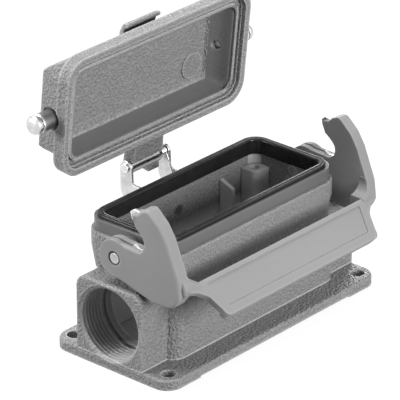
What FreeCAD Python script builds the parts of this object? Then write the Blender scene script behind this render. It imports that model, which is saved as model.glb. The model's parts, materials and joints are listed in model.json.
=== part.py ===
import FreeCAD, Part
import math
import os

# Surface-mounting housing of a 16-pole heavy duty rectangular connector, size 16 B, side cable
# entry, one locking lever and a die-cast hinged cover. Millimetres, +Z up. The origin is the centre
# of the four flange holes, on the mounting face; the cable entry faces -X, the cover hinges at +Y.
V = FreeCAD.Vector

# Mouth and rim: the cavity sets the collar, the collar sets the belt
UPPER_X = -2.8
CAVITY_L = 85.6
CAVITY_W = 34.0
CAVITY_R = 4.5
RIM_END = 2.8
RIM_SIDE = 2.9
COLLAR_L = CAVITY_L + 2 * RIM_END
COLLAR_W = CAVITY_W + 2 * RIM_SIDE
COLLAR_R = CAVITY_R + 2.5
COLLAR_TOP = 50.9
LEDGE = 1.1
LEDGE_Z = 46.3
BELT_L = COLLAR_L + 2 * LEDGE
BELT_W = COLLAR_W + 2 * LEDGE
BELT_R = COLLAR_R + 1.0
BELT_Z0 = 40.0

# Lower box, under the belt, and the flange it stands on
ENTRY_SET_IN = 4.0
BLIND_SET_OUT = 0.6
SIDE_SET_IN = 2.2
LOWER_X0 = UPPER_X - BELT_L / 2 + ENTRY_SET_IN
LOWER_X1 = UPPER_X + BELT_L / 2 + BLIND_SET_OUT
LOWER_W = BELT_W - 2 * SIDE_SET_IN
LOWER_R = 6.0
UNDERCUT_Z = 32.0
FLOOR_Z = 3.4
WALL = 3.2
FLANGE_END = 13.5
FLANGE_SIDE = 9.2
FLANGE_L = LOWER_X1 - LOWER_X0 + 2 * FLANGE_END
FLANGE_W = LOWER_W + 2 * FLANGE_SIDE
FLANGE_T = 4.0
FLANGE_R = 6.5
PAD_RELIEF = 0.6
PAD_L = 17.0
HOLE_INSET_X = 6.0
HOLE_INSET_Y = 5.5
HOLE_PITCH_X = FLANGE_L - 2 * HOLE_INSET_X
HOLE_PITCH_Y = FLANGE_W - 2 * HOLE_INSET_Y
HOLE_D = 5.5

# Cable entry, Pg 21 thread, and the blind boss at the other end
ENTRY_Z = 18.0
ENTRY_MINOR_D = 26.8
ENTRY_MAJOR_D = 28.3
ENTRY_THREAD_L = 13.5
BOSS_W = 31.0
BOSS_TOP = 33.4
BOSS_R = 4.5
BOSS_DEPTH = 13.5
ENTRY_FACE = LOWER_X0 - BOSS_DEPTH
BLIND_FACE = LOWER_X1 + BOSS_DEPTH + 0.6

# Seal on the collar
SEAL_T = 1.3
SEAL_SET_IN = 1.1
SEAL_L = COLLAR_L - 2 * SEAL_SET_IN
SEAL_W = COLLAR_W - 2 * SEAL_SET_IN
SEAL_R = COLLAR_R - SEAL_SET_IN
SEAL_WALL = 0.9
SEAL_FIT = 0.05
SEAL_SKIRT = 4.7

# Threaded corners for the contact insert, standard screw pattern
SCREW_INSET_X = 4.05
SCREW_INSET_Y = 3.5
INSERT_PITCH_X = CAVITY_L - 2 * SCREW_INSET_X
INSERT_PITCH_Y = CAVITY_W - 2 * SCREW_INSET_Y
INSERT_HOLE_D = 3.4
INSERT_HOLE_L = 10.0
INSERT_BOSS_D = 7.4
INSERT_BOSS_TOP = 42.0
RIB_X = 23.0
RIB_DEPTH = 6.0

# Lever: two slotted arms with steel hooks, joined by a sloping grip
PIVOT = (-1.6, 44.0)
LEVER_PIN_D = 4.0
RUN_FIT = 0.05
ARM_GAP = 2.7
ARM_PLATE = 2.0
HOOK_T = 1.2
ARM_T = 2 * ARM_PLATE + HOOK_T
ARM_OUT = BELT_L / 2 + ARM_GAP + ARM_T
SLOT_FIT = 0.15
LOBE_R = 7.1
HUB_D = 12.0
HUB_GAP = 0.25
LEVER_TRAVEL = 56.0
GRIP_TOP = V(0, -32.7, 40.6)
GRIP_DOWN = V(0, -0.725, -0.689)
GRIP_N = V(0, -0.689, 0.725)
GRIP_T = 2.4
GRIP_H = 14.6
GRIP_EDGE = ARM_OUT - 13.2
NECK_R = 4.5
NECK_IN = 1.8

# Cover, drawn closed and then swung open
COVER_FIT = 0.6
COVER_LIP = 2.7
LIP_L = COLLAR_L + 2 * COVER_FIT
LIP_W = COLLAR_W + 2 * (COVER_FIT - 0.1)
LIP_DEPTH = 1.7
COVER_L = LIP_L + 2 * COVER_LIP
COVER_W = LIP_W + 2 * COVER_LIP
COVER_R = COLLAR_R + 1.5
COVER_RIM_Z = 50.65
COVER_H = 14.0
SKIRT_H = 4.8
CROWN_SET_IN = 5.3
CROWN_BACK = COVER_W / 2 - CROWN_SET_IN
CROWN_ROUND = 7.5
CROWN_CORNER = 11.0
COVER_WALL = 2.6
OPENING_L = CAVITY_L
OPENING_W = CAVITY_W
OPENING_R = CAVITY_R
FLOOR_L = OPENING_L - 9.8
RIB_L = OPENING_L + 3.0
RIB_W = OPENING_W + 3.2
RIB_GROOVE = 1.0
HINGE = (32.0, 53.5)
HINGE_X = -3.5
REST_OPEN = 84.2
PEG_D = 7.0
PEG_Z = 7.6
PEG_Y = 0.8
PEG_PROUD = 9.2
PEG_SEAT = 1.3
PEG_SEAT_D = 8.6
PEG_PATH_R = math.hypot(PEG_Y - PIVOT[0], COVER_RIM_Z + PEG_Z - PIVOT[1])
HINGE_PIN_D = 2.4
LUG_L = 15.5
LUG_GAP = 0.3
EYE_R = 2.7
KNUCKLE_SLOT = 2.1
SHEET = 1.0
BRACKET_IN = 19.4
BRACKET_OUT_L = BRACKET_IN + 2 * SHEET
BRACKET_Z0 = 29.5
LUG_X0 = HINGE_X - BRACKET_IN / 2 + LUG_GAP
SPRING_WIRE = 0.7
SPRING_R = 2.05
SPRING_TURNS = 3
RIVET_D = 3.6
RIVET_Z = 37.5
RIVET_HEAD_D = 6.4
RIVET_HEAD_T = 0.9
RIVET_TAIL_D = 4.2
RIVET_TAIL_T = 0.5


def arc_corner(p, q, s, radius):
    """The two ends and the middle of a round corner of the given radius at q."""
    a = (p - q).normalize()
    b = (s - q).normalize()
    half = math.acos(max(-1.0, min(1.0, a.dot(b)))) / 2
    cut = radius / math.tan(half)
    start = q + a * cut
    end = q + b * cut
    centre = q + (a + b).normalize() * (radius / math.sin(half))
    middle = centre + (q - centre).normalize() * radius
    return start, middle, end


def outline(corners):
    """A closed wire through (point, radius) corners, each corner rounded by its radius."""
    edges = []
    ends = []
    count = len(corners)
    for i in range(count):
        point, radius = corners[i]
        before = corners[i - 1][0]
        after = corners[(i + 1) % count][0]
        if radius > 0:
            ends.append(arc_corner(before, point, after, radius))
        else:
            ends.append((point, None, point))
    for i in range(count):
        start, middle, end = ends[i]
        if middle is not None:
            edges.append(Part.Arc(start, middle, end).toShape())
        following = ends[(i + 1) % count][0]
        if (following - end).Length > 1e-6:
            edges.append(Part.makeLine(end, following))
    return Part.Wire(Part.__sortEdges__(edges))


def box_wire(cx, cy, length, width, radius, z):
    """A rounded rectangle at height z."""
    x = length / 2
    y = width / 2
    signs = [(-1, -1), (1, -1), (1, 1), (-1, 1)]
    return outline([(V(cx + sx * x, cy + sy * y, z), radius) for sx, sy in signs])


def rounded_box(cx, cy, length, width, radius, z0, z1):
    face = Part.Face(box_wire(cx, cy, length, width, radius, z0))
    return face.extrude(V(0, 0, z1 - z0))


def tapered(cx, cy, low, high, z0, z1):
    """A loft between two rounded rectangles, each given as (length, width, radius)."""
    lower = box_wire(cx, cy, low[0], low[1], low[2], z0)
    upper = box_wire(cx, cy, high[0], high[1], high[2], z1)
    return Part.makeLoft([lower, upper], True, True)


def side_plate(corners, x0, x1):
    """An outline given in the Y-Z plane, extruded from x0 to x1."""
    wire = outline([(V(x0, y, z), r) for y, z, r in corners])
    return Part.Face(wire).extrude(V(x1 - x0, 0, 0))


def rod(x0, x1, y, z, diameter):
    """A cylinder along X."""
    return Part.makeCylinder(diameter / 2, x1 - x0, V(x0, y, z), V(1, 0, 0))


def mirrored(shape):
    """The same shape at the other end of the upper part."""
    return shape.mirror(V(UPPER_X, 0, 0), V(1, 0, 0))


def turned(shape, degrees, axis_yz):
    """The shape turned about an axis along +X through axis_yz."""
    copy = shape.copy()
    copy.rotate(V(0, axis_yz[0], axis_yz[1]), V(1, 0, 0), degrees)
    return copy


def save(shape, node):
    if shape.ShapeType == "Compound" and len(shape.Solids) == 1:
        shape = shape.Solids[0]
    if not shape.isValid():
        raise ValueError(node + " is not a valid solid")
    shape.exportStep("parts/" + node + ".step")


# Housing
def flange():
    plate = rounded_box(0, 0, FLANGE_L, FLANGE_W, FLANGE_R, PAD_RELIEF, FLANGE_T)
    top_edges = [e for e in plate.Edges if all(abs(v.Z - FLANGE_T) < 1e-6 for v in e.Vertexes)]
    plate = plate.makeFillet(1.0, top_edges)
    pads = rounded_box(0, 0, FLANGE_L, FLANGE_W, FLANGE_R, 0, PAD_RELIEF)
    middle = Part.makeBox(FLANGE_L - 2 * PAD_L, FLANGE_W + 2, PAD_RELIEF)
    middle.translate(V(-FLANGE_L / 2 + PAD_L, -FLANGE_W / 2 - 1, 0))
    return plate.fuse(pads.cut(middle))


def end_boss(face_x, sign):
    """The arched boss that carries the cable entry, or its blind twin."""
    half = BOSS_W / 2
    base = FLANGE_T - 1.0
    depth = 16.0
    corners = [(half, base, 0), (half, BOSS_TOP, BOSS_R), (-half, BOSS_TOP, BOSS_R), (-half, base, 0)]
    wire = outline([(V(face_x, y, z), r) for y, z, r in corners])
    body = Part.Face(wire).extrude(V(-sign * depth, 0, 0))
    front = [e for e in body.Edges if all(abs(v.X - face_x) < 1e-6 for v in e.Vertexes)]
    front = [e for e in front if e.CenterOfMass.z > base + 0.1]
    return body.makeFillet(0.8, front)


def lower_body():
    mid_x = (LOWER_X0 + LOWER_X1) / 2
    length = LOWER_X1 - LOWER_X0
    draft = 0.8
    foot = (length + draft, LOWER_W + draft, LOWER_R)
    top = (length - draft, LOWER_W - draft, LOWER_R)
    box = tapered(mid_x, 0, foot, top, FLANGE_T - 1, UNDERCUT_Z + 3)
    foot = (BELT_L - 1.4, LOWER_W - 1.6, BELT_R - 3.0)
    under = tapered(UPPER_X, 0, foot, (BELT_L, BELT_W, BELT_R), UNDERCUT_Z, BELT_Z0)
    return box.fuse(under)


def upper_body():
    belt = rounded_box(UPPER_X, 0, BELT_L, BELT_W, BELT_R, BELT_Z0, LEDGE_Z)
    ledge = [e for e in belt.Edges if all(abs(v.Z - LEDGE_Z) < 1e-6 for v in e.Vertexes)]
    belt = belt.makeFillet(0.6, ledge)
    collar = rounded_box(UPPER_X, 0, COLLAR_L, COLLAR_W, COLLAR_R, LEDGE_Z - 1, COLLAR_TOP)
    return belt.fuse(collar)


def cavity():
    """The open inside: the mouth, and a slightly drafted box between the lower end walls."""
    bottom = UNDERCUT_Z + 2
    mouth = rounded_box(UPPER_X, 0, CAVITY_L, CAVITY_W, CAVITY_R, bottom, COLLAR_TOP + 5)
    x0 = LOWER_X0 + WALL
    x1 = LOWER_X1 - WALL
    low = (x1 - x0, CAVITY_W - 1.2, CAVITY_R)
    high = (x1 - x0, CAVITY_W, CAVITY_R)
    deep = tapered((x0 + x1) / 2, 0, low, high, FLOOR_Z, bottom)
    return mouth.fuse(deep)


def entry_bore():
    """Thread, chamfer and run-out; the helix is drawn as the standard row of V grooves."""
    face = ENTRY_FACE
    through = rod(face - 1, LOWER_X0 + WALL + 1, 0, ENTRY_Z, ENTRY_MINOR_D)
    mouth = Part.makeCone(ENTRY_MAJOR_D / 2 + 0.4, ENTRY_MINOR_D / 2, 1.0, V(face, 0, ENTRY_Z), V(1, 0, 0))
    relief = rod(face + ENTRY_THREAD_L - 2.2, face + ENTRY_THREAD_L, 0, ENTRY_Z, ENTRY_MAJOR_D + 0.4)
    bore = through.fuse([mouth, relief])
    pitch = 1.59
    turns = int((ENTRY_THREAD_L - 3.6) / pitch)
    root = (ENTRY_MAJOR_D - ENTRY_MINOR_D) / 2
    for i in range(turns):
        x = face + 1.3 + i * pitch
        ring = outline([(V(x, 0, ENTRY_Z + ENTRY_MINOR_D / 2 - 0.2), 0),
                        (V(x + pitch / 2, 0, ENTRY_Z + ENTRY_MINOR_D / 2 + root), 0),
                        (V(x + pitch, 0, ENTRY_Z + ENTRY_MINOR_D / 2 - 0.2), 0)])
        groove = Part.Face(ring).revolve(V(0, 0, ENTRY_Z), V(1, 0, 0), 360)
        bore = bore.fuse(groove)
    return bore


def screw_bosses():
    """Square posts for the insert screws, grown out of the corners of the cavity."""
    half = INSERT_BOSS_D / 2
    y_in = INSERT_PITCH_Y / 2 - half
    y_out = CAVITY_W / 2 + RIM_SIDE - 0.3
    clear = ENTRY_MAJOR_D / 2 + 1.2
    over_bore = ENTRY_Z + math.sqrt(max(clear ** 2 - y_in ** 2, 0.0))
    posts = []
    for sx in (-1, 1):
        x_in = INSERT_PITCH_X / 2 - half
        x_out = CAVITY_L / 2 + RIM_END - 0.3
        low = over_bore if sx < 0 else FLOOR_Z - 0.5
        for sy in (-1, 1):
            x = UPPER_X + sx * (x_in + x_out) / 2
            y = sy * (y_in + y_out) / 2
            posts.append(rounded_box(x, y, x_out - x_in, y_out - y_in, 2.4, low, INSERT_BOSS_TOP))
    return posts


def inner_ribs():
    """One upright rib on each long wall, its top sloped back to the wall."""
    ribs = []
    for sy in (-1, 1):
        wall = CAVITY_W / 2
        rib = side_plate([(sy * (wall + 1), FLOOR_Z - 0.5, 0), (sy * (wall - RIB_DEPTH), FLOOR_Z - 0.5, 0),
                          (sy * (wall - RIB_DEPTH), INSERT_BOSS_TOP - 3.0, 0.8), (sy * (wall + 1), INSERT_BOSS_TOP, 0)],
                         UPPER_X + RIB_X, UPPER_X + RIB_X + 1.8)
        ribs.append(rib)
    return ribs


def back_pad():
    """Flat seat for the hinge bracket where the back wall tapers below the belt."""
    z = BRACKET_Z0 - 1.5
    pad = side_plate([(LOWER_W / 2 - 4, z, 0), (LOWER_W / 2 - 1, z, 0), (BELT_W / 2, z + 1.5, 1.0),
                      (BELT_W / 2, LEDGE_Z - 0.6, 0), (LOWER_W / 2 - 4, LEDGE_Z - 0.6, 0)],
                     HINGE_X - BRACKET_OUT_L / 2 - 0.8, HINGE_X + BRACKET_OUT_L / 2 + 0.8)
    return pad


def make_housing():
    outer = flange().fuse([end_boss(ENTRY_FACE, -1), end_boss(BLIND_FACE, 1), lower_body(), upper_body()])
    envelope = lower_body().fuse(upper_body())
    hubs = []
    for sign in (-1, 1):
        x0 = UPPER_X + sign * (BELT_L / 2 - 3)
        x1 = UPPER_X + sign * (ARM_OUT - ARM_T - HUB_GAP)
        hubs.append(rod(min(x0, x1), max(x0, x1), PIVOT[0], PIVOT[1] - 1.0, HUB_D))
    hubs.append(back_pad())
    solid = outer.fuse(hubs).removeSplitter()
    solid = solid.cut(cavity())
    inside = [piece.common(envelope) for piece in screw_bosses() + inner_ribs()]
    solid = solid.fuse(inside)
    solid = solid.cut(entry_bore())
    core = side_plate([(BOSS_W / 2 - 3, FLOOR_Z + 2, 2), (BOSS_W / 2 - 3, BOSS_TOP - 3.5, 4),
                       (-BOSS_W / 2 + 3, BOSS_TOP - 3.5, 4), (-BOSS_W / 2 + 3, FLOOR_Z + 2, 2)],
                      LOWER_X1 - WALL - 0.5, BLIND_FACE - 3.8)
    solid = solid.cut(core)
    tools = []
    for sx in (-1, 1):
        for sy in (-1, 1):
            x = sx * HOLE_PITCH_X / 2
            y = sy * HOLE_PITCH_Y / 2
            tools.append(Part.makeCylinder(HOLE_D / 2, FLANGE_T + 2, V(x, y, -1)))
            seat = Part.makeCylinder(5.4, BOSS_TOP, V(x, y, FLANGE_T))
            tools.append(seat)
            ix = UPPER_X + sx * INSERT_PITCH_X / 2
            iy = sy * INSERT_PITCH_Y / 2
            hole_z = INSERT_BOSS_TOP - INSERT_HOLE_L
            tools.append(Part.makeCylinder(INSERT_HOLE_D / 2, INSERT_HOLE_L + 1, V(ix, iy, hole_z)))
    reach = ARM_OUT + 5
    tools.append(rod(UPPER_X - reach, UPPER_X + reach, PIVOT[0], PIVOT[1], LEVER_PIN_D))
    tools.append(Part.makeCylinder(RIVET_D / 2, 20.0, V(UPPER_X, CAVITY_W / 2 - 5, RIVET_Z), V(0, 1, 0)))
    solid = solid.cut(tools[0].multiFuse(tools[1:]))
    return solid.removeSplitter()


def make_seal():
    """Flat top over the collar rim, an outer bead and a skirt that lines the mouth."""
    top = rounded_box(UPPER_X, 0, SEAL_L, SEAL_W, SEAL_R, COLLAR_TOP, COLLAR_TOP + SEAL_T)
    crown = [e for e in top.Edges if all(abs(v.Z - COLLAR_TOP - SEAL_T) < 1e-6 for v in e.Vertexes)]
    top = top.makeFillet(0.5, crown)
    low = COLLAR_TOP - SEAL_SKIRT
    out_l = CAVITY_L - 2 * SEAL_FIT
    out_w = CAVITY_W - 2 * SEAL_FIT
    skirt = rounded_box(UPPER_X, 0, out_l, out_w, CAVITY_R - SEAL_FIT, low, COLLAR_TOP + 0.2)
    inner_l = CAVITY_L - 2 * SEAL_WALL
    inner_w = CAVITY_W - 2 * SEAL_WALL
    hole = rounded_box(UPPER_X, 0, inner_l, inner_w, CAVITY_R - SEAL_WALL, low - 1, COLLAR_TOP + SEAL_T + 1)
    return top.fuse(skirt).cut(hole)


# Lever
def hook_seat():
    """Centre of a seated peg with the lever at rest."""
    closed = math.atan2(COVER_RIM_Z + PEG_Z - PIVOT[1], PEG_Y - PIVOT[0])
    angle = closed + math.radians(LEVER_TRAVEL)
    return PIVOT[0] + PEG_PATH_R * math.cos(angle), PIVOT[1] + PEG_PATH_R * math.sin(angle)


def soft_front(solid, x, radius):
    """Rounds the front edges of a plate on its face at x."""
    front = [e for e in solid.Edges if all(abs(v.X - x) < 1e-6 for v in e.Vertexes)]
    front = [e for e in front if e.CenterOfMass.y < -16.0 and e.CenterOfMass.z > 33.0]
    return solid.makeFillet(radius, front)


def arm_body(x0, x1):
    """One arm in full thickness, with the lobe round the pivot and the wide notch."""
    y, z = PIVOT
    corners = [(y + 6.4, z + 7.1, 6.2), (y + 6.4, z - 5.4, 4.5), (-18.6, 32.4, 8.0), (-28.6, 32.6, 5.0),
               (-31.9, 37.6, 5.0), (-30.9, 45.6, 6.0), (-28.4, 51.6, 20.0), (-26.0, 57.6, 6.0),
               (-22.8, 62.6, 4.0), (-17.4, 67.4, 2.0), (-14.4, 66.4, 2.5), (-12.6, 64.5, 1.5),
               (-9.2, 63.8, 0.8), (-11.2, 59.2, 4.0), (-15.4, 54.6, 2.6), (-14.4, 50.2, 2.2),
               (-9.0, z + 6.4, 1.0)]
    plate = side_plate(corners, x0, x1)
    plate = soft_front(plate, x0, 1.1)
    return plate.fuse(rod(x0, x1, y, z, 2 * LOBE_R))


def peg_channel(x0, x1, radius):
    """The room a peg sweeps past the arm as the lever turns."""
    y, z = PIVOT
    sy, sz = hook_seat()
    seat = rod(x0, x1, sy, sz, 2 * radius)
    ring = rod(x0, x1, y, z, 2 * (PEG_PATH_R + radius)).cut(rod(x0 - 1, x1 + 1, y, z, 2 * (PEG_PATH_R - radius)))
    wedge = side_plate([(y, z, 0), (sy * 3 - 2 * y, sz * 3 - 2 * z, 0), (y + 40, z + 60, 0), (y + 40, z, 0)], x0, x1)
    return seat.fuse(ring.common(wedge))


def on_grip(h, down_by):
    """A point on the sloping outer face of the grip: h along it, down_by below its top line."""
    return GRIP_TOP + GRIP_DOWN * down_by + V(UPPER_X + h, 0, 0)


def hook_outline():
    """The hook in the Y-Z plane; the arm's slot follows it with a running clearance."""
    y, z = PIVOT
    return [(y + 5.4, z + 6.2, 4.5), (y + 5.4, z - 4.8, 4.0), (-17.6, 36.8, 5.0), (-24.0, 42.0, 4.0),
            (-24.2, 50.0, 6.0), (-20.4, 58.6, 4.0), (-15.4, 63.6, 2.0), (-9.4, 64.8, 0.8),
            (-7.6, 63.4, 0.6), (-9.3, 58.2, 8.0), (-10.7, 53.4, 2.5), (-8.4, 49.4, 0.8)]


def arm_slot(x0, x1):
    """Room for the hook, open towards the pivot's lobe and the notch."""
    wire = outline([(V(x0, y, z), r) for y, z, r in hook_outline()])
    room = Part.Face(wire).makeOffset2D(SLOT_FIT).extrude(V(x1 - x0, 0, 0))
    y, z = PIVOT
    open_end = side_plate([(y - 1.0, z - 5.0, 0), (y + 12.0, z - 5.6, 0), (y + 12.0, z + 12.0, 0),
                           (y - 7.0, z + 12.0, 0), (y - 7.0, z + 4.0, 0)], x0, x1)
    return room.fuse(open_end)


def arm_neck(x0, x1):
    """The front edge of an arm, led over into the outer face of the grip."""
    return side_plate([(-27.6, 47.4, 0), (-30.3, 46.9, 0), (-31.2, 44.2, 5.0), (-33.0, 41.1, 1.6),
                       (-33.4, 38.9, 1.4), (-29.8, 34.8, 2.5), (-26.5, 34.4, 0)], x0, x1)


def make_lever():
    out = UPPER_X - ARM_OUT
    inner = out + ARM_T
    y, z = PIVOT
    arm = arm_body(out, inner)
    neck = soft_front(arm_neck(out + NECK_IN, inner), out + NECK_IN, 1.4)
    corner_z = GRIP_TOP.z + 0.6 + NECK_R
    corner = arm_neck(inner, inner + NECK_R)
    corner = corner.cut(Part.makeCylinder(NECK_R, 12.0, V(inner + NECK_R, -38.0, corner_z), V(0, 1, 0)))
    corner = corner.cut(Part.makeBox(NECK_R + 1, 12.0, 12.0, V(inner + NECK_R, -38.0, corner_z - NECK_R)))
    low_cut = Part.makeBox(NECK_R + 1, 12.0, 12.0, V(inner, -38.0, GRIP_TOP.z - 3.2 - 12.0))
    arm = arm.fuse([neck, corner.cut(low_cut)])
    arm = arm.cut(arm_slot(out + ARM_PLATE, inner - ARM_PLATE))
    arm = arm.cut(peg_channel(out - 1, inner + 1, PEG_D / 2 + 0.25))
    arm = arm.cut(rod(out - 1, out + ARM_PLATE, y, z, LEVER_PIN_D + 1.4))
    arm = arm.cut(rod(out - 1, inner + 1, y, z, LEVER_PIN_D + 2 * RUN_FIT))
    parts = [arm, mirrored(arm)]
    edge = GRIP_EDGE
    right = [(edge + 9.8, -0.8, 0), (edge + 9.8, 1.3, 0), (edge + 6.2, 2.5, 2.0), (edge + 2.8, 5.4, 4.0),
             (edge + 0.9, 11.0, 0), (edge, GRIP_H, 2.4)]
    whole = right + [(-h, down_by, r) for h, down_by, r in right[::-1]]
    plate = Part.Face(outline([(on_grip(h, down_by), r) for h, down_by, r in whole]))
    parts.append(plate.extrude(GRIP_N * -GRIP_T))
    lip = [(edge, GRIP_H - 2.6, 0), (edge, GRIP_H, 2.0), (-edge, GRIP_H, 2.0), (-edge, GRIP_H - 2.6, 0)]
    bar = Part.Face(outline([(on_grip(h, down_by), r) for h, down_by, r in lip]))
    parts.append(bar.extrude(GRIP_N * -(GRIP_T + 1.4)))
    lever = parts[0].multiFuse(parts[1:]).removeSplitter()
    recess = [(edge + 0.6, 0.9), (edge - 3.0, 11.2), (3.0 - edge, 11.2), (-edge - 0.6, 0.9)]
    wire = outline([(on_grip(h, down_by) - GRIP_N * 0.35, 0.6) for h, down_by in recess])
    return lever.cut(Part.Face(wire).extrude(GRIP_N * 3))


def make_hook():
    """Stamped steel hook that lies in the slot of the left arm and stands proud in the notch."""
    x0 = UPPER_X - ARM_OUT + ARM_PLATE
    y, z = PIVOT
    plate = side_plate(hook_outline(), x0 + 0.05, x0 + HOOK_T - 0.05)
    plate = plate.cut(peg_channel(x0 - 1, x0 + HOOK_T + 1, PEG_D / 2 + 0.2))
    return plate.cut(rod(x0 - 1, x0 + HOOK_T + 1, y, z, LEVER_PIN_D + 2 * RUN_FIT))


def make_lever_pin():
    """Plain pin pressed through the end wall, its outer end flush with the arm."""
    y, z = PIVOT
    x_out = UPPER_X - ARM_OUT + 0.2
    x_in = UPPER_X - CAVITY_L / 2 + 0.4
    return rod(x_out, x_in, y, z, LEVER_PIN_D)


# Cover
def make_cover():
    z = COVER_RIM_Z
    skirt = rounded_box(UPPER_X, 0, COVER_L, COVER_W, COVER_R, z, z + SKIRT_H)
    far = -COVER_W / 2
    foot = z + SKIRT_H - 0.6
    top = z + COVER_H
    half = COVER_L / 2
    crown_w = CROWN_BACK - far
    crown_y = (CROWN_BACK + far) / 2
    profile = side_plate([(CROWN_BACK, foot, 0), (CROWN_BACK - 1.2, top, 5.0), (far + 6.6, top, CROWN_ROUND),
                          (far + 1.4, foot, 0)], UPPER_X - half, UPPER_X + half)
    ends = [(-half + 0.3, foot, 0), (-half + 0.9, top, 2.4), (half - 0.9, top, 2.4), (half - 0.3, foot, 0)]
    end_view = Part.Face(outline([(V(UPPER_X + x, far - 1, height), r) for x, height, r in ends]))
    plan = [(-half + 0.2, far, CROWN_CORNER), (half - 0.2, far, CROWN_CORNER), (half - 0.2, CROWN_BACK, COVER_R),
            (-half + 0.2, CROWN_BACK, COVER_R)]
    plan = Part.Face(outline([(V(UPPER_X + x, y, foot), r) for x, y, r in plan])).extrude(V(0, 0, top - foot))
    crown = plan.common(profile).common(end_view.extrude(V(0, COVER_W + 2, 0)))
    shell = skirt.fuse(crown)
    shell = shell.fuse(cover_lug())
    shell = shell.fuse(pull_tab())
    inner_top = z + COVER_H - COVER_WALL
    split = z + SKIRT_H - 2.2
    mouth = rounded_box(UPPER_X, 0, OPENING_L, OPENING_W, OPENING_R, z - 1, split)
    room = tapered(UPPER_X, crown_y, (OPENING_L - 0.4, crown_w, OPENING_R),
                   (FLOOR_L, crown_w, OPENING_R - 1), split - 0.6, inner_top)
    inner = side_plate([(OPENING_W / 2, z - 1, 0), (OPENING_W / 2, split, 0), (CROWN_BACK - 2.7, inner_top, 1.2),
                        (far + 8.8, inner_top, CROWN_ROUND - 2.5), (-OPENING_W / 2, split, 0),
                        (-OPENING_W / 2, z - 1, 0)], UPPER_X - COVER_L / 2, UPPER_X + COVER_L / 2)
    room = room.common(inner)
    shell = shell.cut(mouth.fuse(room))
    lip = rounded_box(UPPER_X, 0, LIP_L, LIP_W, COVER_R - 2.6, z - 1, z + LIP_DEPTH)
    shell = shell.cut(lip)
    groove = rounded_box(UPPER_X, 0, LIP_L - 1.0, LIP_W - 1.0, COVER_R - 3.1, z + 1, z + LIP_DEPTH + RIB_GROOVE)
    rib = rounded_box(UPPER_X, 0, RIB_L, RIB_W, OPENING_R + 1.4, z, z + 5)
    shell = shell.cut(groove.cut(rib))
    seat = UPPER_X - COVER_L / 2 + PEG_SEAT
    seat_room = rod(seat - 5, seat, PEG_Y, z + PEG_Z, PEG_SEAT_D)
    tools = [rod(seat - 5, UPPER_X - FLOOR_L / 2, PEG_Y, z + PEG_Z, 3.2).fuse(seat_room)]
    tools.append(mirrored(tools[0]))
    tools.append(rod(UPPER_X - 30, UPPER_X + 30, HINGE[0], HINGE[1], HINGE_PIN_D + 2 * RUN_FIT))
    shell = shell.cut(tools[0].multiFuse(tools[1:]))
    disc = Part.makeCylinder(5.2, 0.9, V(UPPER_X + 31.2, 8.0, inner_top - 0.5))
    shell = shell.fuse(disc)
    shell = turned(shell.removeSplitter(), -REST_OPEN, HINGE)
    y, z = HINGE
    slot = Part.makeBox(LUG_L + 2, EYE_R + 3, KNUCKLE_SLOT, V(LUG_X0 - 1, -EYE_R - 3, -KNUCKLE_SLOT / 2))
    slot.rotate(V(0, 0, 0), V(1, 0, 0), -20)
    slot.translate(V(0, y, z))
    return shell.cut(slot)


def cover_lug():
    """Cast web from the skirt to a barrel round the hinge pin, with a stop block on it."""
    y, z = HINGE
    x0 = LUG_X0
    barrel = rod(x0, x0 + LUG_L, y, z, 2 * EYE_R)
    edge = COVER_W / 2
    web = side_plate([(edge - 1.5, COVER_RIM_Z + 0.4, 0), (y, z - EYE_R, 0), (y, z + EYE_R, 0),
                      (edge - 1.5, COVER_RIM_Z + SKIRT_H - 0.2, 0)], x0, x0 + LUG_L)
    stop = side_plate([(y - 1.0, z - 1.0, 0), (y + 5.4, z - 1.6, 0.8), (y + 5.2, z + EYE_R, 1.0),
                       (y - 1.0, z + EYE_R, 0)], x0 + 10.4, x0 + LUG_L)
    return barrel.fuse([web, stop])


def pull_tab():
    """Finger tab off the top of the cover over its free long edge, with a turned lip."""
    z = COVER_RIM_Z
    edge = -COVER_W / 2
    half = 8.6
    return side_plate([(edge + 11.4, z + 10.8, 0), (edge + 11.4, z + 13.0, 0), (edge + 4.8, z + 12.9, 3.0),
                       (edge + 1.0, z + 11.4, 1.8), (edge + 0.5, z + 9.1, 0.7), (edge + 2.1, z + 8.9, 0.6),
                       (edge + 2.8, z + 10.8, 1.6), (edge + 6.0, z + 11.3, 2.0)],
                      UPPER_X - half, UPPER_X + half)


def make_peg():
    """Steel locking peg: riveted inside, a grooved round head outside."""
    y = PEG_Y
    z = COVER_RIM_Z + PEG_Z
    wall = UPPER_X - COVER_L / 2 + PEG_SEAT
    head_l = 2.6
    tip = wall - PEG_SEAT - PEG_PROUD
    spigot = rod(wall, UPPER_X - OPENING_L / 2 + 1.8, y, z, 3.2)
    body = rod(tip, wall, y, z, PEG_D - 1.4)
    head = rod(tip, tip + head_l, y, z, PEG_D)
    rim = [e for e in head.Edges if abs(e.CenterOfMass.x - tip) < 1e-6]
    head = head.makeFillet(1.1, rim)
    flange_ring = rod(tip + head_l + 0.6, tip + head_l + 1.4, y, z, PEG_D)
    peg = spigot.fuse([body, head, flange_ring]).removeSplitter()
    return turned(peg, -REST_OPEN, HINGE)


def make_sleeve():
    """Sleeve between the wall and the groove of the peg."""
    z = COVER_RIM_Z + PEG_Z
    wall = UPPER_X - COVER_L / 2 + PEG_SEAT
    x0 = wall - PEG_SEAT - PEG_PROUD + 4.0
    ring = rod(x0, wall, PEG_Y, z, PEG_D).cut(rod(x0 - 1, wall + 1, PEG_Y, z, PEG_D - 1.4))
    return turned(ring, -REST_OPEN, HINGE)


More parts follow.
